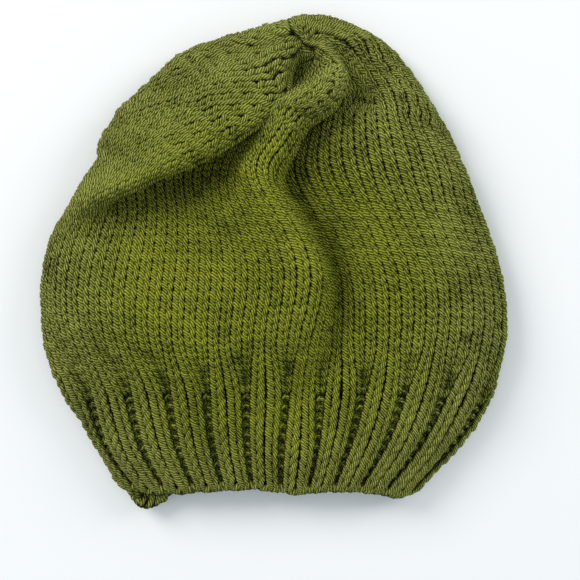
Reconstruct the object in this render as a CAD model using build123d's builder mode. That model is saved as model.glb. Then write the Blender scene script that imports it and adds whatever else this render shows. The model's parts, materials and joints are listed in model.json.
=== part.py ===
from build123d import *
from math import cos, pi, sin
import os

# Hand-knit slouchy beanie, laid flat on its back with the mouth towards -Y.
# Millimetres: +Z is up from the table, X runs across the hat and +Y runs from the
# mouth to the crown. The origin is on the table under the middle of the hat.

# Overall size, laid flat
hat_width = 214.0
hat_length = 221.0  # cast-on edge to the top of the crown, without the curled corner
loft_height = 24.0  # both layers and the air between them, at the fullest part

# Fabric
fabric = 4.0  # thickness of the stocking stitch
rib_raise = 1.2  # how far a knit rib stands above the groove beside it
band_wall = fabric + 0.8  # thickness of the ribbing, over the ribs
band_height = 45.0  # cast-on edge to the first plain row
mouth_height = 17.5  # both layers of the band and the gap between them, at the mouth
join_height = 20.5  # the same where the band meets the body
ribs_flat = 9  # pairs of knit columns above, and as many below
ribs_round = 2  # pairs of knit columns round each side
underside_trim = 0.5  # the back layer is drawn this far below the table and cut flat
room_chords = 2  # straight stretches to a quarter turn of the inner face
side_share = 0.80  # how much of the height is round side, the rest being crowned top

# Cast-on edge
edge_depth = 3.4  # how far the cast-on chain stands out of the mouth
edge_inset = 0.7
edge_slant = 1.2  # the chain's outer corner is taken off by this much
curl_out = 6.0  # how far the corner of the back layer has curled out past the edge
curl_half = 9.5
curl_middle = -57.0

# The folded-over side of the crown, seen from above
pleat_rise = 4.5
pleat_outline = [
    (-120.0, 14.0),
    (-92.0, 23.0),
    (-53.0, 39.0),
    (-16.0, 60.0),
    (4.0, 77.0),
    (4.0, 130.0),
    (-120.0, 130.0),
]
pleat_round = 12.0

# The crease that runs from the crown down the front, as a rounded roll: place along
# the hat, place across it, half width and height of its crest
ridge_bow = 0.7  # how far the roll's sides lie below its crest, as a share of half its width
ridge_foot = 12.0  # it is drawn from this height up, and the room inside cuts it off
ridge_sections = [
    (-38.0, 8.0, 8.0, 23.5),
    (-12.0, 9.0, 11.0, 28.0),
    (12.0, 4.0, 12.5, 29.5),
    (36.0, -8.0, 12.0, 30.5),
    (60.0, -7.0, 11.5, 30.5),
    (82.0, 7.0, 10.0, 28.0),
    (98.0, 16.0, 7.0, 22.0),
]

# Yarn ends and the drawn-up stitches
yarn = 2.4
gather_x = 14.0
gather_below = 16.5  # from the crown's top down to the middle of the drawn-up stitches
gather_radius = 4.4
gather_hole = 0.7  # radius of the hole that the drawn-up stitches leave
tail_sink = 0.3  # how far a woven-in end's middle lies below the fabric's inner face
cast_on_tail_ends = ((-46.0, 3.1), (-50.0, 32.1))  # across the hat, and up from the band's mouth
crown_tail_ends = ((16.0, 25.5), (12.0, 53.5))  # across the hat, and down from its top

crown_y = (hat_length + curl_out) / 2
edge_y = crown_y - hat_length
mouth_y = edge_y + edge_depth
join_y = edge_y + band_height
half = hat_width / 2

# Sections from the mouth to the crown: place along the hat above the band, from 0
# to 1, the left and right edges as shares of half the width, and the height as a
# share of the fullest.
mouth_section = (mouth_y, -0.64, 0.60, mouth_height)
join_section = (join_y, -0.85, 0.93, join_height)
body_sections = [
    (join_y + along * (crown_y - join_y), left, right, tall * loft_height)
    for along, left, right, tall in (
        (0.13, -0.955, 0.985, 0.93),
        (0.29, -1.000, 0.995, 1.00),
        (0.45, -0.940, 0.930, 1.00),
        (0.585, -0.810, 0.840, 0.98),
        (0.715, -0.695, 0.740, 0.91),
        (0.815, -0.590, 0.630, 0.81),
        (0.905, -0.440, 0.500, 0.68),
        (0.96, -0.290, 0.380, 0.56),
    )
]
end_section = (crown_y, -0.13, 0.24, loft_height * 0.40)
bag_steps = 12
crown_height = 73.5  # the first row of decreases to the crown's top
crown_start = crown_y - crown_height


def eased(chosen, steps):
    """Sections in even steps along the hat, read off smooth lines drawn through the
    chosen ones."""
    first, last = chosen[0], chosen[-1]
    lines = [Spline(*[(row[0], row[value]) for row in chosen]) for value in (1, 2, 3)]
    rows = [first]
    for step in range(1, steps):
        y = first[0] + (last[0] - first[0]) * step / steps
        cut = Line((y, -hat_width), (y, hat_width))
        rows.append((y, *[line.find_intersection_points(cut)[0].Y for line in lines]))
    return [*rows, last]


def hat_section(section, inset):
    """One section across the hat, drawn in from its outside by inset: flat below,
    round at the sides and crowned on top."""
    y, left_share, right_share, height = section
    left = left_share * half + inset
    right = right_share * half - inset
    low = inset - underside_trim
    side = (height * side_share - inset - low) / 2
    shoulder = low + 2 * side
    with BuildSketch(Plane.XZ.offset(-y)) as across:
        with BuildLine():
            Line((left + side, low), (right - side, low))
            ThreePointArc((right - side, low), (right, low + side), (right - side, shoulder))
            ThreePointArc(
                (right - side, shoulder),
                ((left + right) / 2, height - inset),
                (left + side, shoulder),
            )
            ThreePointArc((left + side, shoulder), (left, low + side), (left + side, low))
        make_face()
    return across.sketch


def room_section(section, wall):
    """The room inside one section, in straight stretches that keep a wall all round."""
    y, left_share, right_share, height = section
    left = left_share * half + wall
    right = right_share * half - wall
    low = wall - underside_trim
    side = (height * side_share - wall - low) / 2
    turns = [step * pi / 2 / room_chords for step in range(-room_chords, room_chords + 1)]
    right_side = [(right - side * (1 - cos(turn)), low + side * (1 + sin(turn))) for turn in turns]
    left_side = [(left + side * (1 - cos(turn)), low + side * (1 + sin(turn))) for turn in turns]
    with BuildSketch(Plane.XZ.offset(-y)) as across:
        with BuildLine():
            middle = ((left + right) / 2, height - wall)
            Polyline(*right_side, middle, *reversed(left_side), close=True)
        make_face()
    return across.sketch


def ribbed_section(section):
    """The band's outside: one outward arc for each rib, meeting in sharp grooves."""
    grooves = hat_section(section, rib_raise).wire().edges()
    crests = hat_section(section, 0).wire().edges()
    with BuildSketch(Plane.XZ.offset(-section[0])) as across:
        with BuildLine():
            for groove, crest in zip(grooves, crests):
                count = ribs_flat if groove.length > section[-1] * pi / 2 else ribs_round
                for rib in range(count):
                    points = (
                        groove.position_at(rib / count),
                        crest.position_at((rib + 0.5) / count),
                        groove.position_at((rib + 1) / count),
                    )
                    ThreePointArc(*[(point.X, point.Z) for point in points])
        make_face()
    return across.sketch


def woven_tail(ends, wall):
    """A yarn end, woven along the inner face of the back layer."""
    height = wall - underside_trim - tail_sink
    with BuildPart() as tail:
        with BuildLine():
            line = Line(*[(x, y, height) for x, y in ends])
        with BuildSketch(Plane(line @ 0, z_dir=line % 0)):
            Circle(yarn / 2)
        sweep(path=line)
    return tail.part


os.makedirs("parts", exist_ok=True)

# Yarn ends: the first and last of the yarn, woven in along the back layer
cast_on_tail = woven_tail([(x, mouth_y + up) for x, up in cast_on_tail_ends], band_wall)
cast_on_tail.label = "cast_on_tail"
export_step(cast_on_tail, "parts/cast_on_tail.step")

crown_tail = woven_tail([(x, crown_y - down) for x, down in crown_tail_ends], fabric)
crown_tail.label = "crown_tail"
export_step(crown_tail, "parts/crown_tail.step")

# Rib band: corrugated outside, smooth inside, flat where it lies on the table
with BuildPart() as rib_band:
    add(ribbed_section(mouth_section))
    add(ribbed_section(join_section))
    loft(ruled=True)
    add(room_section(mouth_section, band_wall))
    add(room_section(join_section, band_wall))
    loft(ruled=True, mode=Mode.SUBTRACT)
    split(bisect_by=Plane.XY, keep=Keep.TOP)
    add(cast_on_tail, mode=Mode.SUBTRACT)
rib_band.part.label = "rib_band"
export_step(rib_band.part, "parts/rib_band.step")

# Cast-on edge: the chain round the mouth, with the back layer's corner curled out
with BuildPart() as cast_on_edge:
    for y, inset in (
        (mouth_y, edge_inset),
        (edge_y + edge_slant, edge_inset),
        (edge_y, edge_inset + edge_slant),
    ):
        add(hat_section((y, *mouth_section[1:]), inset))
    loft(ruled=True)
    mouth_room = room_section(mouth_section, band_wall)
    extrude(mouth_room, amount=edge_depth, dir=(0, -1, 0), mode=Mode.SUBTRACT)
    with BuildSketch(Plane.XY.offset(edge_inset - underside_trim)):
        with Locations((curl_middle, edge_y + edge_slant)):
            Ellipse(curl_half, curl_out + edge_slant)
        split(bisect_by=Plane.XZ.offset(-mouth_y), keep=Keep.TOP)
    extrude(amount=band_wall - edge_inset)
cast_on_edge.part.label = "cast_on_edge"
export_step(cast_on_edge.part, "parts/cast_on_edge.step")

# Body and crown: one closed bag of cloth, knitted on from the band
bag_sections = eased([join_section, *body_sections, end_section], bag_steps)
with BuildPart() as outside:
    for section in bag_sections:
        add(hat_section(section, 0))
    loft(ruled=True)

# The side of the crown that has folded over lies on the bag as one more layer
with BuildPart() as pleat:
    with BuildSketch():
        with BuildLine():
            FilletPolyline(*pleat_outline, radius=pleat_round, close=True)
        make_face()
    extrude(amount=2 * loft_height)
    add(outside.part.moved(Location((0, 0, pleat_rise))), mode=Mode.INTERSECT)

with BuildPart() as ridge:
    for y, x, half_wide, crest in ridge_sections:
        shoulder = crest - ridge_bow * half_wide
        with BuildSketch(Plane.XZ.offset(-y)):
            with BuildLine():
                ThreePointArc((x - half_wide, shoulder), (x, crest), (x + half_wide, shoulder))
                Polyline(
                    (x + half_wide, shoulder),
                    (x + half_wide, ridge_foot),
                    (x - half_wide, ridge_foot),
                    (x - half_wide, shoulder),
                )
            make_face()
    loft(ruled=True)

# The room for the head, closed at the crown by the drawn-up cloth
with BuildPart() as hollow:
    for section in bag_sections[:-1]:
        add(room_section(section, fabric))
    loft(ruled=True)

with BuildPart() as bag:
    add(outside)
    add(pleat)
    add(ridge)
    add(hollow, mode=Mode.SUBTRACT)
    split(bisect_by=Plane.XY, keep=Keep.TOP)

with BuildPart() as body:
    add(bag)
    split(bisect_by=Plane.XZ.offset(-crown_start), keep=Keep.TOP)
body.part.label = "body"
export_step(body.part, "parts/body.step")

# Drawn-up stitches: the small ring that closes the crown, seated in its face
gather_axis = Axis((gather_x, crown_y - gather_below, 0), (0, 0, 1))
top_point, top_normal = bag.part.find_intersection_points(gather_axis)[-1]
with BuildPart() as crown_gather:
    with BuildSketch(Plane(top_point, x_dir=(1, 0, 0), z_dir=top_normal)):
        Circle(gather_radius)
        Circle(gather_hole, mode=Mode.SUBTRACT)
    extrude(amount=yarn / 2, both=True)
    chamfer(crown_gather.edges().group_by(SortBy.LENGTH)[-1], yarn / 3)
crown_gather.part.label = "crown_gather"
export_step(crown_gather.part, "parts/crown_gather.step")

with BuildPart() as crown:
    add(bag)
    split(bisect_by=Plane.XZ.offset(-crown_start), keep=Keep.BOTTOM)
    add(crown_gather, mode=Mode.SUBTRACT)
    add(crown_tail, mode=Mode.SUBTRACT)
crown.part.label = "crown"
export_step(crown.part, "parts/crown.step")
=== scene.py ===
import json
import math
import bpy
import numpy as np
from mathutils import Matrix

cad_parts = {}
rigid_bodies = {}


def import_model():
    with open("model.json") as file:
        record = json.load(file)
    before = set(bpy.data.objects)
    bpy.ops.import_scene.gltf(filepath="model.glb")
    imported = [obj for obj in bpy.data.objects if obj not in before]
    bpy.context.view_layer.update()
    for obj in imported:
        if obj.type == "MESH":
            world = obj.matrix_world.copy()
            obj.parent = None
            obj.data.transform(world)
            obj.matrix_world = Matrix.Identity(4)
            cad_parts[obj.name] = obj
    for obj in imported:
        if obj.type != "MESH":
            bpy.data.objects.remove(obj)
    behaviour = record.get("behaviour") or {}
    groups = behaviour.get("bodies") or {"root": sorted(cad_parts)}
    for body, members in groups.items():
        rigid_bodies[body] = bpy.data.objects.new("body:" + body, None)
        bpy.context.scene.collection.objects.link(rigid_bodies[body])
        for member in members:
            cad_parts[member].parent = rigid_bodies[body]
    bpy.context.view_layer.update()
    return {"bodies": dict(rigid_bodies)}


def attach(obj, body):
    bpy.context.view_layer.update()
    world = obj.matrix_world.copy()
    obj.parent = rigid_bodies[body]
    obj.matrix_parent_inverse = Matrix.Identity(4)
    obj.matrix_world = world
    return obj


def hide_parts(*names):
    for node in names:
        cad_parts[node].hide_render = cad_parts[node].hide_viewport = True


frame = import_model()
body = next(iter(frame["bodies"]))

# Lengths below are in millimetres until a mesh is made.
mm = 0.001
rng = np.random.default_rng(11)

# The hat as it lies, drawn as the closed line that a round of knitting follows.
# Each key counts the rounds from the cast-on edge. Its three runs of points go from the
# folded-over edge at the left to the crease, on to the right fold, and back underneath
# and over the crown's folded side. The edge, the crease and the right fold each stay on
# one column of stitches.
hatRows = {
    0: (
        [(-61, -103, 8), (-48, -103, 10), (-28, -102, 11), (-7, -101, 11), (11, -103, 11)],
        [(29, -102, 11), (47, -103, 10), (60, -105, 8), (65, -104, 5)],
        [(61, -102, 2), (46, -101, 2), (-1, -101, 2), (-33, -102, 2), (-45, -104, 3), (-51, -108, 5),
         (-57, -110, 7), (-63, -107, 7), (-65, -103, 6)],
    ),
    5: (
        [(-74, -84, 10), (-59, -82, 13), (-32, -81, 13), (-7, -80, 14), (13, -82, 14)],
        [(27, -81, 12), (49, -82, 13), (70, -83, 11), (85, -84, 5)],
        [(82, -84, 2), (36, -83, 2), (-33, -83, 2), (-71, -85, 2), (-77, -85, 5)],
    ),
    10: (
        [(-81, -63, 12), (-63, -60, 15), (-36, -59, 16), (-9, -59, 17), (4, -59, 16), (14, -60, 11)],
        [(25, -60, 14), (45, -60, 15), (72, -61, 14), (90, -64, 11), (97, -66, 6)],
        [(93, -64, 2), (60, -62, 2), (-10, -61, 2), (-70, -63, 2), (-86, -65, 2), (-90, -65, 6)],
    ),
    18: (
        [(-93, -32, 15), (-76, -32, 20), (-48, -34, 24), (-22, -34, 25), (2, -31, 26), (18, -31, 23)],
        [(23, -32, 17), (26, -33, 12), (36, -33, 15), (58, -32, 19), (85, -33, 18), (99, -35, 13),
         (106, -37, 6)],
        [(102, -36, 2), (60, -33, 2), (-10, -32, 2), (-79, -32, 2), (-99, -33, 2), (-103, -33, 6)],
    ),
    26: (
        [(-95, -3, 13), (-81, -1, 15), (-54, -2, 17), (-27, -2, 20), (-1, -2, 25), (16, -1, 28),
         (21, -2, 25)],
        [(23, -3, 16), (27, -3, 10), (35, -3, 13), (53, -3, 20), (75, -3, 20), (96, -5, 14),
         (104, -7, 6)],
        [(100, -4, 2), (60, -3, 2), (-10, -2, 2), (-79, -2, 2), (-100, -3, 2), (-103, -4, 6)],
    ),
    33: (
        [(-86, 21, 14), (-83, 22, 12), (-78, 22, 9), (-55, 24, 9), (-32, 25, 12), (-13, 26, 21),
         (-0, 26, 27), (7, 23, 24)],
        [(9, 23, 16), (12, 24, 10), (22, 25, 13), (49, 25, 20), (71, 25, 20), (87, 23, 14), (95, 21, 6)],
        [(91, 25, 2), (50, 27, 2), (-10, 27, 2), (-70, 25, 2), (-91, 18, 2), (-96, 14, 6), (-93, 18, 12)],
    ),
    40: (
        [(-64, 31, 21), (-62, 34, 14), (-66, 37, 10), (-68, 40, 8), (-64, 43, 7), (-55, 45, 7),
         (-37, 46, 9), (-21, 46, 12), (-12, 44, 18), (-7, 45, 26), (-1, 44, 28), (3, 41, 25)],
        [(4, 40, 16), (7, 42, 9), (13, 45, 11), (31, 48, 18), (53, 49, 21), (71, 49, 19), (81, 46, 13),
         (87, 41, 6)],
        [(82, 48, 2), (50, 51, 2), (-10, 51, 2), (-56, 47, 2), (-75, 40, 3), (-82, 39, 8), (-78, 36, 15),
         (-71, 34, 20)],
    ),
    43: (
        [(-52, 36, 24), (-50, 39, 16), (-55, 43, 10), (-57, 48, 8), (-54, 51, 7), (-46, 55, 7),
         (-32, 56, 8), (-16, 55, 12), (-8, 53, 18), (-2, 53, 25), (3, 52, 28), (9, 50, 24)],
        [(9, 49, 16), (12, 51, 9), (19, 56, 11), (35, 59, 18), (55, 60, 20), (70, 57, 18), (77, 54, 11),
         (82, 52, 7)],
        [(77, 59, 3), (50, 62, 2), (-1, 63, 2), (-56, 59, 2), (-68, 55, 3), (-77, 52, 8), (-73, 49, 15),
         (-68, 45, 18), (-61, 39, 22)],
    ),
    47: (
        [(-40, 40, 27), (-38, 43, 19), (-42, 49, 12), (-46, 56, 9), (-43, 60, 8), (-37, 63, 8),
         (-25, 65, 9), (-12, 64, 13), (-4, 61, 19), (1, 64, 26), (7, 65, 29), (11, 62, 28), (14, 59, 24)],
        [(14, 58, 15), (17, 61, 9), (25, 68, 8), (40, 71, 11), (51, 70, 15), (59, 69, 19), (70, 66, 15),
         (77, 62, 7)],
        [(71, 69, 3), (50, 72, 2), (4, 74, 2), (-40, 72, 2), (-60, 70, 3), (-69, 66, 8), (-66, 63, 16),
         (-62, 58, 19), (-55, 52, 25), (-47, 45, 28)],
    ),
    54: (
        [(-20, 50, 27), (-17, 54, 20), (-18, 59, 13), (-20, 67, 10), (-17, 72, 8), (-10, 74, 9),
         (-1, 73, 13), (6, 71, 20), (11, 71, 26), (17, 72, 29), (23, 70, 28), (26, 68, 24)],
        [(27, 68, 16), (29, 72, 8), (36, 78, 8), (46, 84, 9), (57, 84, 13), (64, 81, 8)],
        [(61, 87, 3), (41, 90, 2), (9, 92, 2), (-21, 90, 2), (-38, 88, 3), (-49, 85, 8), (-47, 82, 15),
         (-44, 77, 16), (-37, 69, 24), (-30, 58, 29)],
    ),
    60: (
        [(-4, 61, 26), (-1, 66, 18), (-2, 72, 13), (0, 78, 10), (5, 81, 9), (10, 82, 10), (16, 81, 12),
         (23, 80, 20), (28, 79, 27), (32, 77, 24)],
        [(32, 81, 15), (33, 86, 8), (38, 91, 9), (46, 96, 11), (51, 97, 8)],
        [(47, 101, 4), (32, 106, 3), (14, 107, 3), (-13, 103, 3), (-26, 99, 5), (-33, 95, 10),
         (-31, 92, 17), (-28, 88, 17), (-19, 79, 24), (-10, 68, 27)],
    ),
    64: (
        [(5, 72, 22), (7, 78, 16), (8, 85, 9), (13, 88, 9), (20, 90, 10), (26, 88, 17), (30, 84, 22)],
        [(29, 89, 14), (29, 95, 8), (34, 99, 11), (40, 102, 8)],
        [(35, 106, 6), (25, 110, 6), (14, 110, 6), (-2, 105, 7), (-11, 100, 10), (-11, 97, 16),
         (-10, 94, 15), (-6, 88, 20), (-1, 81, 23)],
    ),
    67: (
        [(8, 89, 16), (10, 92, 12), (14, 94, 10), (19, 94, 12), (22, 93, 16)],
        [(21, 99, 10), (24, 102, 10)],
        [(20, 105, 11), (13, 105, 11), (7, 102, 15), (6, 99, 13), (6, 93, 17)],
    ),
}
crownCentre = (14, 98, 11)
foldColumns = (3, 25, 44, 91)     # the columns of those three marks, and the first again
columns = 88
lastRound = 69


def curveThrough(points, steps):
    # closed Catmull-Rom curve through the points: each span blends the straight lines
    # through its two points and their neighbours, twice over, with the points' knots
    # apart by the root of the distance between them
    p = np.asarray(points, float)
    ring = [np.roll(p, k, axis=0) for k in (1, 0, -1, -2)]
    gap = [np.sqrt(np.linalg.norm(ring[k + 1] - ring[k], axis=1))[:, None] + 1e-6 for k in range(3)]
    knot = [np.zeros_like(gap[0]), gap[0], gap[0] + gap[1], gap[0] + gap[1] + gap[2]]
    t = knot[1][:, None] + np.linspace(0, 1, steps, endpoint=False)[None, :, None] * gap[1][:, None]
    k = [g[:, None] for g in knot]
    q = [r[:, None] for r in ring]
    a = [((k[i + 1] - t) * q[i] + (t - k[i]) * q[i + 1]) / (k[i + 1] - k[i]) for i in range(3)]
    b = [((k[i + 2] - t) * a[i] + (t - k[i]) * a[i + 1]) / (k[i + 2] - k[i]) for i in range(2)]
    line = ((k[2] - t) * b[0] + (t - k[1]) * b[1]) / (k[2] - k[1])
    return line.reshape(-1, 3)


def roundLine(runs, count):
    # a round's points, spaced evenly along its length between the marked columns
    steps = 24
    line = curveThrough([point for run in runs for point in run], steps)
    line = np.vstack([line, line[:1]])
    length = np.concatenate([[0], np.cumsum(np.linalg.norm(np.diff(line, axis=0), axis=1))])
    starts = np.cumsum([0] + [len(run) for run in runs]) * steps
    starts[1] -= steps                # the crease is the first run's last point
    starts[2] -= steps                # the right fold is the second run's last point
    column = foldColumns[0] + np.arange(count) * columns / count
    along = np.interp(column, foldColumns, length[starts])
    return np.stack([np.interp(along, length, line[:, k]) for k in range(3)], 1)


def naturalSpline(x, y, wanted):
    # natural cubic spline through rows y at x, for all columns at once
    h = np.diff(x)
    n = len(x)
    matrix = np.eye(n)
    right = np.zeros_like(y)
    for i in range(1, n - 1):
        matrix[i, i - 1:i + 2] = h[i - 1], 2 * (h[i - 1] + h[i]), h[i]
        right[i] = 6 * ((y[i + 1] - y[i]) / h[i] - (y[i] - y[i - 1]) / h[i - 1])
    bend = np.linalg.solve(matrix, right.reshape(n, -1)).reshape(y.shape)
    i = np.clip(np.searchsorted(x, wanted, side="right") - 1, 0, n - 2)
    after, before, width = [v[:, None, None] for v in (wanted - x[i], x[i + 1] - wanted, h[i])]
    return ((bend[i] * before ** 3 + bend[i + 1] * after ** 3) / (6 * width)
            + (y[i] / width - bend[i] * width / 6) * before
            + (y[i + 1] / width - bend[i + 1] * width / 6) * after)


# The cloth: a fine grid over the hat, perRound rows to a round and perColumn to a column
cloth = {"perRound": 6, "perColumn": 4, "smooth": 4, "smoothNormals": 4, "floorGap": 2.3}


def makeCloth(c):
    # the rounds' lines stacked by height and joined by a cubic spline up each column, down
    # to one point at the crown's middle, then eased and kept off the floor
    heights = np.array(list(hatRows) + [lastRound], float)
    lines = [roundLine(runs, columns * c["perColumn"]) for runs in hatRows.values()]
    lines.append(np.tile(np.array(crownCentre, float), (columns * c["perColumn"], 1)))
    grid = naturalSpline(heights, np.array(lines), np.arange(lastRound * c["perRound"] + 1) / c["perRound"])
    for _ in range(c["smooth"]):      # ease out the corners of the listed lines
        grid = (np.roll(grid, 1, 1) + 2 * grid + np.roll(grid, -1, 1)) / 4
        grid[1:-1] = (grid[:-2] + 2 * grid[1:-1] + grid[2:]) / 4
    grid[..., 2] = np.maximum(grid[..., 2], c["floorGap"])
    return grid


grid = makeCloth(cloth)


def outward(g):
    # unit normals of the grid, pointing away from the inside of the hat
    across = np.roll(g, -2, 1) - np.roll(g, 2, 1)
    up = np.gradient(g, axis=0)
    n = np.cross(across, up)
    n /= np.linalg.norm(n, axis=-1, keepdims=True) + 1e-9
    for _ in range(cloth["smoothNormals"]):
        n = (np.roll(n, 1, 1) + 2 * n + np.roll(n, -1, 1)) / 4
        n[1:-1] = (n[:-2] + 2 * n[1:-1] + n[2:]) / 4
    return n / (np.linalg.norm(n, axis=-1, keepdims=True) + 1e-9)


gridNormal = outward(grid)
print("cloth laid out:", grid.shape)


# Hollows: how far the hat's top surface lies below the mean of the surface around it,
# where the yarn gets painted shade, darker the deeper the recess
relief = {"cell": 3.0, "reach": 16, "wide": 84, "long": 90, "rim": (0.60, 0.92)}


def averaged(values, weight, passes):
    # three-cell averages, passes times along each axis, over the cells the hat covers,
    # and the share of the cells around that it covers
    top, under = values * weight, weight.copy()
    for _ in range(passes):
        for axis in (0, 1):
            top = (np.roll(top, 1, axis) + top + np.roll(top, -1, axis)) / 3
            under = (np.roll(under, 1, axis) + under + np.roll(under, -1, axis)) / 3
    return top / (under + 1e-6), under


def makeHollowShadeMap(c):
    # the highest point of the cloth in each square cell, less the mean height around it: the
    # painted shade for that cell
    height = np.zeros((c["wide"], c["long"]))
    cell = [np.round(grid[..., k] / c["cell"] + (c["wide"], c["long"])[k] / 2).astype(int) for k in (0, 1)]
    np.maximum.at(height, tuple(cell), grid[..., 2])
    covered = (height > 0).astype(float)
    around, share = averaged(height, covered, c["reach"])
    inside = np.clip((share - c["rim"][0]) / (c["rim"][1] - c["rim"][0]), 0, 1)
    return (around - averaged(height, covered, 1)[0]) * inside


hollowShadeMap = makeHollowShadeMap(relief)


def hollowShadeAt(points):
    # read between the four nearest cells
    c = relief
    at = [points[:, k] / c["cell"] + (c["wide"], c["long"])[k] / 2 for k in (0, 1)]
    i, j = [np.floor(a).astype(int) for a in at]
    fi, fj = at[0] - i, at[1] - j
    return ((hollowShadeMap[i, j] * (1 - fi) + hollowShadeMap[i + 1, j] * fi) * (1 - fj)
            + (hollowShadeMap[i, j + 1] * (1 - fi) + hollowShadeMap[i + 1, j + 1] * fi) * fj)


def onCloth(u, v, lift):
    # the point at column u and round v, raised by lift along the cloth's normal:
    # both read between the grid's four nearest points
    cu = ((u - foldColumns[0]) % columns) * cloth["perColumn"]
    cv = np.clip(v, 0, lastRound) * cloth["perRound"]
    iu = np.floor(cu).astype(int)
    iv = np.minimum(np.floor(cv).astype(int), grid.shape[0] - 2)
    fu = (cu - iu)[:, None]
    fv = (cv - iv)[:, None]
    ju = (iu + 1) % grid.shape[1]
    iu = iu % grid.shape[1]

    def read(g):
        low = g[iv, iu] * (1 - fu) + g[iv, ju] * fu
        high = g[iv + 1, iu] * (1 - fu) + g[iv + 1, ju] * fu
        return low * (1 - fv) + high * fv

    normal = read(gridNormal)
    beyond = (v - np.clip(v, 0, lastRound))[:, None] * (grid[cloth["perRound"], iu] - grid[0, iu])
    return read(grid) + beyond + normal * lift[:, None], normal


def tubes(lines, normals, radii, lifts, sides, closed=True):
    # yarn: a ring of points round every point of each line, in the plane across the
    # line, whose first direction is the cloth's normal with its along-line part removed;
    # each point's depth is its distance from the cloth's middle, which sets its painted shade
    points, faces, around, along, depth = [], [], [], [], []
    base = 0
    angle = np.arange(sides) / sides * 2 * np.pi
    for line, normal, radius, lift in zip(lines, normals, radii, lifts):
        count = len(line)
        ahead = np.roll(line, -1, 0) - np.roll(line, 1, 0)
        if not closed:
            ahead[0], ahead[-1] = line[1] - line[0], line[-1] - line[-2]
        ahead /= np.linalg.norm(ahead, axis=1, keepdims=True) + 1e-9
        first = normal - ahead * np.sum(normal * ahead, axis=1, keepdims=True)
        first /= np.linalg.norm(first, axis=1, keepdims=True) + 1e-9
        second = np.cross(ahead, first)
        ring = np.cos(angle)[None, :, None] * first[:, None] + np.sin(angle)[None, :, None] * second[:, None]
        reach = np.broadcast_to(radius, (count,))[:, None, None]
        points.append((line[:, None] + ring * reach).reshape(-1, 3))
        above = np.broadcast_to(lift, (count,))[:, None] + np.cos(angle)[None] * reach[..., 0]
        depth.append(np.abs(above).ravel())
        i = np.arange(count if closed else count - 1)[:, None]
        j = np.arange(sides)[None, :]
        ni, nj = (i + 1) % count, (j + 1) % sides
        quads = np.stack([i * sides + j, ni * sides + j, ni * sides + nj, i * sides + nj], -1)
        faces.append(quads.reshape(-1, 4) + base)
        step = np.linalg.norm(np.roll(line, -1, 0) - line, axis=1)
        length = np.concatenate([[0], np.cumsum(step)])
        s0 = np.broadcast_to(length[i], quads.shape[:2])
        s1 = np.broadcast_to(length[i + 1], quads.shape[:2])
        a0 = np.broadcast_to(j / sides, quads.shape[:2])
        a1 = a0 + 1 / sides
        along.append(np.stack([s0, s1, s1, s0], -1).reshape(-1))
        around.append(np.stack([a0, a0, a1, a1], -1).reshape(-1))
        base += count * sides
    return points, faces, around, along, depth


def meshPiece(name, parts, material, replaced=()):
    # the tubes as one mesh, with the angle and length along the yarn as its UV map, and
    # the depth and hollow at each point as attributes that the material reads, to paint
    # shade between the yarns and in the cloth's recesses
    points, faces, around, along, depth = [np.concatenate(part) for part in parts]
    mesh = bpy.data.meshes.new(name)
    mesh.vertices.add(len(points))
    mesh.vertices.foreach_set("co", (points * mm).astype(np.float32).ravel())
    mesh.loops.add(faces.size)
    mesh.loops.foreach_set("vertex_index", faces.astype(np.int32).ravel())
    mesh.polygons.add(len(faces))
    mesh.polygons.foreach_set("loop_start", np.arange(0, faces.size, 4, dtype=np.int32))
    mesh.polygons.foreach_set("loop_total", np.full(len(faces), 4, dtype=np.int32))
    uv = mesh.uv_layers.new(name="yarn")
    uv.data.foreach_set("uv", np.stack([around, along / 10], 1).astype(np.float32).ravel())
    mesh.attributes.new("depth", "FLOAT", "POINT").data.foreach_set("value", depth.astype(np.float32))
    hollow = mesh.attributes.new("hollow", "FLOAT", "POINT")
    hollow.data.foreach_set("value", hollowShadeAt(points).astype(np.float32))
    mesh.update(calc_edges=True)
    mesh.validate()
    mesh.polygons.foreach_set("use_smooth", np.ones(len(mesh.polygons), bool))
    mesh.materials.append(material)
    piece = bpy.data.objects.new(name, mesh)
    bpy.context.scene.collection.objects.link(piece)
    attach(piece, body)
    if replaced:
        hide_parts(*replaced)
    print(name, "triangles:", 2 * len(faces))


# Stitches: wide is how far the first and the second leg swing out, deep how far they stand
# out of the cloth while the heads and feet lie in it, tall half the loop's height in
# rounds, close how far the legs of one stitch are drawn together, leaf how much thicker a
# leg is at its middle, and sideShade how much deeper its outer side counts for the colour,
# so that painted shade darkens each leg towards the edge of its column
stitch = {
    "samples": 14, "sides": 6, "yarn": 1.27, "yarnRib": 1.32, "leaf": 0.13,
    "wide": (0.22, 0.26), "deep": (1.75, 1.50), "tall": 1.06, "close": 0.030, "sideShade": 1.0,
    "jitterWide": 0.025, "jitterTall": 0.06, "jitterDeep": 0.16, "jitterYarn": 0.05,
    "floor": 0.15, "size": (4.94, 3.5), "stretch": (0.88, 1.22),
}
decreaseRounds = [46, 49, 52, 55, 58, 60, 62, 64, 66, 67]     # each takes one stitch from each wedge
wedges = 8
wedgeStitches = 11
# In the rib, the purl columns count as lying lower for the colour, by a set factor, which paints shade into
# the grooves between the ribs
rib = {
    "rounds": 10, "pinch": 0.60, "pinchTop": 0.50, "raise": 2.2, "raiseTop": 1.7,
    "fade": 6.0, "phase": 1.0, "groove": 0.4, "turnOver": 6,
}


def wedgeAt(v):
    # stitches left in each of the eight wedges at round v, falling by one over each decrease
    marks = np.array([0] + [x for d in decreaseRounds for x in (d - 1, d)] + [lastRound], float)
    falling = [wedgeStitches - k - s for k in range(len(decreaseRounds)) for s in (0, 1)]
    return np.interp(v, marks, [wedgeStitches] + falling + [1])


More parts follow.
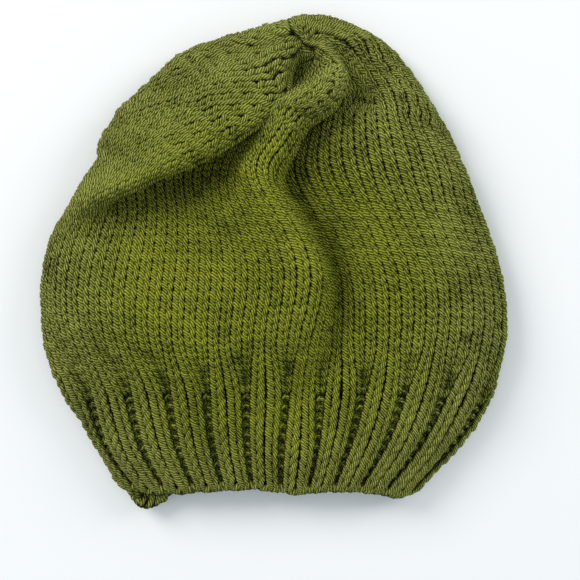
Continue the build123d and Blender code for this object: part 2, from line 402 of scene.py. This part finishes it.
def stretchAt(u, v):
    # how much larger than usual the cloth's stitches are here: the root of a stitch's area
    # on the grid over its usual area
    iu = ((u - foldColumns[0]) % columns * cloth["perColumn"]).astype(int)
    iv = np.clip(v * cloth["perRound"], 0, grid.shape[0] - 2).astype(int)
    wide = np.linalg.norm(grid[iv, (iu + 1) % grid.shape[1]] - grid[iv, iu], axis=1) * cloth["perColumn"]
    wide = wide * wedgeStitches / wedgeAt(v)
    tall = np.linalg.norm(grid[iv + 1, iu] - grid[iv, iu], axis=1) * cloth["perRound"]
    size = np.sqrt(wide * tall / (stitch["size"][0] * stitch["size"][1]))
    for _ in range(stitch["samples"]):
        size = (np.roll(size, 1) + size + np.roll(size, -1)) / 3
    return np.clip(size, *stitch["stretch"])


def stitchRound(number):
    # one round of yarn: in each stitch the yarn climbs from its foot to its head and back,
    # with a side swing at twice that rate, so that the two legs lean apart
    s = stitch
    wedge = int(round(float(wedgeAt(number))))
    count = wedges * wedge
    ribbed = number < rib["rounds"]
    place = np.arange(count * s["samples"]) / s["samples"]
    which = np.floor(place).astype(int)
    turn = 2 * np.pi * (place - which - 0.5)
    jitter = rng.normal(size=(3, count))[:, which]
    firstLeg = place - which < 0.5
    swing = np.where(firstLeg, *s["wide"]) + s["jitterWide"] * jitter[0]
    tall = s["tall"] * (1 + s["jitterTall"] * jitter[1])
    a = place + swing * np.sin(2 * turn) - s["close"] * np.sin(turn)
    v = number + 0.5 + tall * np.cos(turn)
    lift = -np.mean(s["deep"]) * np.cos(2 * turn)
    lift = np.where(lift > 0, lift * np.where(firstLeg, *s["deep"]) / np.mean(s["deep"]), lift)
    lift = lift * (1 + s["jitterDeep"] * jitter[2])
    shift = (which // wedge) * wedge
    u = foldColumns[0] + wedgeStitches * (which // wedge + (a - shift) / wedgeAt(v))
    if number < rib["rounds"] + rib["fade"]:
        fade = np.clip((v - rib["rounds"]) / rib["fade"], 0, 1)
        climb = np.clip(v / rib["rounds"], 0, 1)
        ribTurn = np.pi / 2 * (u - rib["phase"])
        pinch = (rib["pinch"] + (rib["pinchTop"] - rib["pinch"]) * climb) * (1 - fade)
        raised = (rib["raise"] + (rib["raiseTop"] - rib["raise"]) * climb) * (1 - fade)
        purl = ribbed & (np.cos(np.pi / 2 * (which + 0.5 + foldColumns[0] - rib["phase"])) < 0)
        side = np.where(purl, -1.0, 1.0)
        for _ in range(rib["turnOver"]):      # the yarn passes through the cloth over a few samples
            side = (np.roll(side, 1) + side + np.roll(side, -1)) / 3
        lift = lift * side + raised * np.cos(ribTurn)
        u = u + pinch * np.sin(ribTurn)
    line, normal = onCloth(u, v, lift)
    line = (np.roll(line, 1, 0) + 4 * line + np.roll(line, -1, 0)) / 6
    # the lift that sets the colour: the rib's purl columns get painted shade, as in their grooves, and each
    # leg's outer side gets painted shade, as between columns
    shadeLift = np.where(purl, rib["groove"] * (lift + raised), lift) if ribbed else lift
    shadeLift = shadeLift - s["sideShade"] * np.clip(2 * np.abs(a - which - 0.5) - 0.5, 0, 1) * (shadeLift > 0)
    size = stretchAt(u, v)
    thick = s["yarnRib"] + (s["yarn"] - s["yarnRib"]) * np.clip(number / (rib["rounds"] + rib["fade"]), 0, 1)
    uneven = (1 + s["jitterYarn"] * rng.normal(size=count))[which]
    radius = thick * size * uneven * (1 - s["leaf"] * np.cos(2 * turn))
    radius = (np.roll(radius, 2) + radius + np.roll(radius, -2)) / 3
    line[:, 2] = np.maximum(line[:, 2], radius + s["floor"])
    return line, normal, radius, shadeLift


def knit(name, first, last, material, replaced):
    # the rounds from first up to, but without, last
    made = [stitchRound(number) for number in range(first, last)]
    meshPiece(name, tubes(*zip(*made), stitch["sides"]), material, replaced)


class Link:
    # a socket that arithmetic can be written with
    def __init__(self, maker, socket):
        self.maker = maker
        self.socket = socket

    def _math(self, operation, other, swap=False):
        pair = (other, self) if swap else (self, other)
        return self.maker.node("ShaderNodeMath", {"operation": operation}, {0: pair[0], 1: pair[1]})

    def __add__(self, other):
        return self._math("ADD", other)

    def __radd__(self, other):
        return self._math("ADD", other, True)

    def __sub__(self, other):
        return self._math("SUBTRACT", other)

    def __rsub__(self, other):
        return self._math("SUBTRACT", other, True)

    def __mul__(self, other):
        return self._math("MULTIPLY", other)

    def __rmul__(self, other):
        return self._math("MULTIPLY", other, True)


class Maker:
    # builds a material: node adds a node and gives one of its outputs as a link
    def __init__(self, name):
        self.material = bpy.data.materials.new(name)
        self.material.use_nodes = True
        self.tree = self.material.node_tree
        self.shader = self.tree.nodes["Principled BSDF"]

    def node(self, kind, settings=None, values=None, out=0):
        made = self.tree.nodes.new(kind)
        for key, value in (settings or {}).items():
            if key == "stops":
                ramp = made.color_ramp
                while len(ramp.elements) < len(value):
                    ramp.elements.new(0.5)
                for element, (place, colour) in zip(ramp.elements, value):
                    element.position = place
                    element.color = (*colour, 1)
            else:
                setattr(made, key, value)
        for key, value in (values or {}).items():
            self.set(made.inputs[key], value)
        return Link(self, made.outputs[out])

    def set(self, socket, value):
        if isinstance(value, Link):
            self.tree.links.new(value.socket, socket)
        else:
            socket.default_value = value


# hollow and crest: the distances from the cloth's middle over which the colour goes from painted shade
# between the yarns to painted light on their crests
yarnLook = {
    "shade": (0.010, 0.014, 0.0002), "body": (0.105, 0.120, 0.007), "light": (0.37, 0.39, 0.095),
    "middle": (0.0, -0.0136, 0.0),
    "plies": 5, "twist": 0.82, "plyDepth": 1.0, "fuzz": 0.55, "rough": 0.85,
    "sheen": 0.05, "sheenRough": 0.45, "sheenTint": (0.75, 0.78, 0.45, 1.0),
    "specular": 0.1, "hollow": 0.2, "crest": 2.5, "bump": 0.9, "bumpDepth": 0.0007,
    "warm": (0.050, 0.105), "warmTint": (1.0, 1.0, 0.36, 1.0),
    "noise": {"fine": 1500.0, "strand": 330.0, "broad": 45.0},
}
# crest and ridge paint light on the yarn's crests and ply ridges and shade between yarns and plies, hollow
# paints shade into the cloth's recesses, and fine, strand and broad are random tone
yarnTone = {             # how much each part of the pattern lightens the yarn; base and hollow darken it
    "crest": 0.74, "ridge": 0.56, "base": 0.43, "hollow": 0.023, "fine": 0.55, "strand": 0.4, "broad": 0.35,
}


def yarnMaterial(name, look, weight):
    # the plies wind round the yarn: their ridges follow plies times the angle plus the
    # length along the yarn times the twist; the colour is yellower towards the middle of the hat as it lies
    m = Maker(name)
    uv = m.node("ShaderNodeUVMap", {"uv_map": "yarn"})
    angle = m.node("ShaderNodeSeparateXYZ", None, {0: uv})
    length = Link(m, angle.socket.node.outputs[1])
    turn = (angle * look["plies"] + length * (10 * look["twist"])) * (2 * math.pi)
    # the ply ridges: painted highlight along each ply and painted shade between plies, and the bump's height
    ridge = m.node("ShaderNodeMath", {"operation": "SINE"}, {0: turn}) * 0.5 + 0.5
    place = m.node("ShaderNodeTexCoord", None, None, 3)
    noise = look["noise"]
    fine = m.node("ShaderNodeTexNoise", None,
                  {"Vector": place, "Scale": noise["fine"], "Detail": 4.0, "Roughness": 0.7})
    broad = m.node("ShaderNodeTexNoise", None, {"Vector": place, "Scale": noise["broad"], "Detail": 2.0})
    strand = m.node("ShaderNodeTexNoise", None, {"Vector": place, "Scale": noise["strand"], "Detail": 2.0})
    # painted shade: the yarn is darker the nearer it lies to the cloth's middle, between the yarns, and
    # lighter on its crests
    depth = m.node("ShaderNodeAttribute", {"attribute_name": "depth"}, None, 2)
    out = m.node("ShaderNodeMapRange", {"interpolation_type": "SMOOTHSTEP"},
                 {0: depth, 1: look["hollow"], 2: look["crest"], 3: 0.0, 4: 1.0})
    # painted shade in the cloth's recesses, deeper the further they lie below the surface around
    hollow = m.node("ShaderNodeAttribute", {"attribute_name": "hollow"}, None, 2)
    tone = out * weight["crest"] + ridge * weight["ridge"] - weight["base"] - hollow * weight["hollow"]
    tone = tone + (fine - 0.5) * weight["fine"] + (strand - 0.5) * weight["strand"]
    tone = tone + (broad - 0.5) * weight["broad"]
    stops = [(0.10, look["shade"]), (0.50, look["body"]), (0.90, look["light"])]
    colour = m.node("ShaderNodeValToRGB", {"stops": stops}, {0: tone})
    middle = m.node("ShaderNodeVectorMath", {"operation": "MULTIPLY"}, {0: place, 1: (1.0, 1.0, 0.0)})
    far = m.node("ShaderNodeVectorMath", {"operation": "DISTANCE"}, {0: middle, 1: look["middle"]}, 1)
    warm = m.node("ShaderNodeMapRange", {"interpolation_type": "SMOOTHSTEP"},
                  {0: far, 1: look["warm"][0], 2: look["warm"][1], 3: 1.0, 4: 0.0})
    tinted = m.node("ShaderNodeMix", {"data_type": "RGBA", "blend_type": "MULTIPLY"},
                    {0: warm, 6: colour, 7: look["warmTint"]}, 2)
    m.set(m.shader.inputs["Base Color"], tinted)
    height = ridge * look["plyDepth"] + fine * look["fuzz"]
    bump = m.node("ShaderNodeBump", None,
                  {"Strength": look["bump"], "Distance": look["bumpDepth"], "Height": height})
    m.set(m.shader.inputs["Normal"], bump)
    m.shader.inputs["Roughness"].default_value = look["rough"]
    m.shader.inputs["Sheen Weight"].default_value = look["sheen"]
    m.shader.inputs["Sheen Roughness"].default_value = look["sheenRough"]
    m.shader.inputs["Sheen Tint"].default_value = look["sheenTint"]
    m.shader.inputs["Specular IOR Level"].default_value = look["specular"]
    return m.material


mossYarn = yarnMaterial("mossYarn", yarnLook, yarnTone)
print("yarn material made")

# Each knitted piece: the round after its last, its slot and what it stands for
knitPieces = [
    ("ribbedBand", rib["rounds"], "rib_knit", ["rib_band"]),
    ("plainBodyLow", 21, "plain_knit", ["body"]),
    ("plainBodyMiddle", 32, "plain_knit", []),
    ("plainBodyHigh", 44, "plain_knit", []),
    ("crownOuter", 56, "plain_knit", ["crown"]),
    ("crownInner", lastRound, "plain_knit", []),
]
firstRound = 0
for pieceName, endRound, slotName, stoodFor in knitPieces:
    knit(pieceName, firstRound, endRound, mossYarn, stoodFor)
    firstRound = endRound

# Cast-on edge: a rope of two strands round the first round's feet, one stroke to a stitch
castOn = {
    "radius": 1.35, "yarn": 1.4, "samples": 12, "below": -0.15, "sway": 0.3, "sides": 7, "strands": 2,
    "ribPinch": 0.6, "ribRaise": 0.4,
}


def castOnLine(c, strand):
    # a helix about the edge: its angle turns once for as many stitches as there are strands
    u = foldColumns[0] + np.arange(columns * c["samples"]) / c["samples"]
    turn = 2 * np.pi * (u + strand) / c["strands"]
    lift = c["radius"] * np.cos(turn)
    v = c["below"] + c["sway"] * np.sin(turn)
    ribTurn = np.pi / 2 * (u - rib["phase"])
    pinched = u + c["ribPinch"] * rib["pinch"] * np.sin(ribTurn)
    line, normal = onCloth(pinched, v, lift + c["ribRaise"] * rib["raise"] * np.cos(ribTurn))
    line[:, 2] = np.maximum(line[:, 2], c["yarn"] + stitch["floor"])
    return line, normal, c["yarn"], lift


strands = [castOnLine(castOn, strand) for strand in range(castOn["strands"])]
meshPiece("castOnChain", tubes(*zip(*strands), castOn["sides"]), mossYarn, ["cast_on_edge"])

# The corner of the back layer's edge, curled out into a small roll
curl = {
    "start": (-62.5, -105.0), "end": (-48.5, -108.6), "height": 4.3, "radius": 2.3, "thinEnds": 0.6,
    "turns": 5, "yarn": 1.45, "samples": 120, "sides": 8,
}


def curlLine(c):
    # a coil along the roll, whose radius swells from its ends to its middle
    along = np.linspace(0, 1, c["samples"])
    turn = 2 * np.pi * c["turns"] * along
    reach = c["radius"] * (c["thinEnds"] + (1 - c["thinEnds"]) * np.sin(np.pi * along))
    start, end = np.array(c["start"]), np.array(c["end"])
    line = start + (end - start) * along[:, None]
    side = np.array([start[1] - end[1], end[0] - start[0]]) / np.linalg.norm(end - start)
    lift = reach * np.cos(turn)
    line = np.hstack([line + side * (reach * np.sin(turn))[:, None], (c["height"] + lift)[:, None]])
    line[:, 2] = np.maximum(line[:, 2], c["yarn"] + stitch["floor"])
    return line, np.tile([0.0, 0.0, 1.0], (c["samples"], 1)), lift


line, normal, lift = curlLine(curl)
coil = tubes([line], [normal], [curl["yarn"]], [lift], curl["sides"], closed=False)
meshPiece("castOnCurl", coil, mossYarn)

# Drawn-up stitches: the yarn's end passed round through the last eight
gather = {
    "ring": 2.3, "bumps": 8, "bump": 0.5, "yarn": 1.2, "rise": 0.6, "wave": 0.4, "lift": 0.4,
    "samples": 96, "sides": 8,
}


def gatherLine(c):
    # a circle about the crown's middle whose radius swells once for each drawn-up stitch
    turn = np.arange(c["samples"]) / c["samples"] * 2 * np.pi
    reach = c["ring"] + c["bump"] * np.cos(c["bumps"] * turn)
    height = c["rise"] + c["wave"] * np.sin(c["bumps"] * turn)
    line = np.stack([reach * np.cos(turn), reach * np.sin(turn), height], 1) + np.array(crownCentre)
    return line, np.tile([0.0, 0.0, 1.0], (c["samples"], 1))


line, normal = gatherLine(gather)
drawnUp = tubes([line], [normal], [gather["yarn"]], [gather["lift"]], gather["sides"])
meshPiece("crownGatherRing", drawnUp, mossYarn, ["crown_gather"])

# Yarn ends, woven in along the back layer's inner face
tails = {
    "castOnTailYarn": ("cast_on_tail", (-46.0, -101.0), (-50.0, -72.0)),
    "crownTailYarn": ("crown_tail", (16.0, 88.0), (12.0, 60.0)),
}
tail = {"height": 5.6, "sway": 0.5, "across": 20, "upDown": 16, "lift": 0.4, "samples": 60, "sides": 8}
for name, (node, start, end) in tails.items():
    along = np.linspace(0, 1, tail["samples"])[:, None]
    line = np.array(start) * (1 - along) + np.array(end) * along
    line = np.hstack([line + tail["sway"] * np.sin(tail["across"] * along),
                      tail["height"] + tail["sway"] * np.cos(tail["upDown"] * along)])
    up = np.tile([0.0, 0.0, 1.0], (tail["samples"], 1))
    strand = tubes([line], [up], [stitch["yarn"]], [tail["lift"]], tail["sides"], closed=False)
    meshPiece(name, strand, mossYarn, [node])

# Camera, light and table
view = {"place": (8.7, -13.6, 450.0), "across": 269.4, "sensor": 36, "nearest": 0.01}
studio = {"lampColour": (1.0, 0.975, 0.92), "roomColour": (0.86, 0.94, 1.0, 1), "room": 0.76}
paleTop = {"half": 3, "colour": (0.80, 0.80, 0.80, 1), "rough": 0.6}
camera = bpy.data.cameras.new("camera")
camera.sensor_width = view["sensor"]
camera.lens = view["sensor"] * view["place"][2] / view["across"]
camera.clip_start = view["nearest"]
cameraObject = bpy.data.objects.new("camera", camera)
cameraObject.location = [x * mm for x in view["place"]]
bpy.context.scene.collection.objects.link(cameraObject)
bpy.context.scene.camera = cameraObject


def areaLight(name, place, size, power):
    # a round lamp aimed at the hat's middle
    data = bpy.data.lights.new(name, "AREA")
    data.shape = "DISK"
    data.size = size
    data.energy = power
    data.color = studio["lampColour"]
    lamp = bpy.data.objects.new(name, data)
    lamp.location = place
    way = -np.array(place, float)
    way /= np.linalg.norm(way)
    lamp.rotation_euler = (math.acos(-way[2]), 0, math.atan2(way[1], way[0]) - math.pi / 2)
    bpy.context.scene.collection.objects.link(lamp)


areaLight("window", (-1.55, 1.25, 1.15), 1.20, 43)
areaLight("side", (1.70, 0.80, 0.85), 1.00, 16)
world = bpy.data.worlds.new("room")
world.use_nodes = True
world.node_tree.nodes["Background"].inputs[0].default_value = studio["roomColour"]
world.node_tree.nodes["Background"].inputs[1].default_value = studio["room"]
bpy.context.scene.world = world
bpy.context.scene.view_settings.view_transform = "Standard"

floorMesh = bpy.data.meshes.new("table")
half = paleTop["half"]
corners = [(-half, -half, 0), (half, -half, 0), (half, half, 0), (-half, half, 0)]
floorMesh.from_pydata(corners, [], [(0, 1, 2, 3)])
floorObject = bpy.data.objects.new("table", floorMesh)
bpy.context.scene.collection.objects.link(floorObject)
table = Maker("paleTable")
table.shader.inputs["Base Color"].default_value = paleTop["colour"]
table.shader.inputs["Roughness"].default_value = paleTop["rough"]
floorMesh.materials.append(table.material)
print("camera, lamps and table placed")
